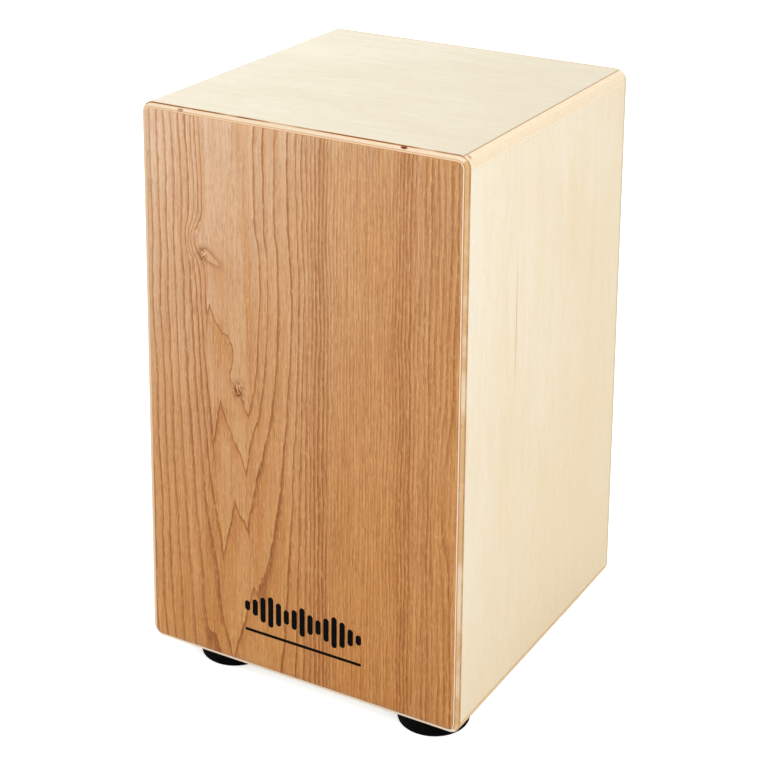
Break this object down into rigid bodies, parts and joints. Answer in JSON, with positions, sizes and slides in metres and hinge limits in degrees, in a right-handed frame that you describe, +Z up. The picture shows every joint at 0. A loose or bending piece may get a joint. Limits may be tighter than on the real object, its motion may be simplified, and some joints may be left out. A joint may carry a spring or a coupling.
{
  "type": "cajon",
  "caption": "Upright wooden box drum that is sat on: veneered front playing panel, round sound hole at the back, rubber feet and a turning snare bar inside.",
  "frame": {"origin": "on the floor under the middle of the box, in the plane of the feet", "axes": "+Z up, -Y out of the playing panel towards the listener, +X to the right of someone facing the playing panel"},
  "size_m": [0.3, 0.3, 0.5],
  "materials": {
    "veneer": "satin lacquer over brown ash veneer",
    "birch": "clear satin lacquer on birch plywood",
    "birch_skin": "clear satin lacquer on thin birch plywood",
    "softwood": "planed and bare",
    "beech": "turned and sanded",
    "rubber": "matte moulded",
    "steel": "bright zinc plate",
    "black_steel": "black phosphate"
  },
  "bodies": {
    "box": {"playing_panel": "veneer", "back_panel": "birch_skin", "seat_panel": "birch", "bottom_panel": "birch", "left_side_panel": "birch", "right_side_panel": "birch", "upper_left_batten": "softwood", "upper_right_batten": "softwood", "lower_left_batten": "softwood", "lower_right_batten": "softwood", "snare_block_left": "beech", "snare_block_right": "beech", "block_screw_left_lower": "black_steel", "block_screw_left_upper": "black_steel", "block_screw_right_lower": "black_steel", "block_screw_right_upper": "black_steel", "rubber_foot_front_left": "rubber", "foot_washer_front_left": "steel", "foot_screw_front_left": "steel", "rubber_foot_front_right": "rubber", "foot_washer_front_right": "steel", "foot_screw_front_right": "steel", "rubber_foot_rear_left": "rubber", "foot_washer_rear_left": "steel", "foot_screw_rear_left": "steel", "rubber_foot_rear_right": "rubber", "foot_washer_rear_right": "steel", "foot_screw_rear_right": "steel"},
    "snare_unit": {"snare_dowel": "beech", "snare_wires_left": "steel", "snare_wires_right": "steel", "plate_screw_1": "black_steel", "plate_screw_2": "black_steel", "plate_screw_3": "black_steel", "plate_screw_4": "black_steel"}
  },
  "joints": [
    {"name": "snare_turn", "type": "hinge", "parent": "box", "child": "snare_unit", "pos_m": [0, -0.1336, 0.316], "axis": [-1, 0, 0], "range_deg": [0, 25]}
  ]
}
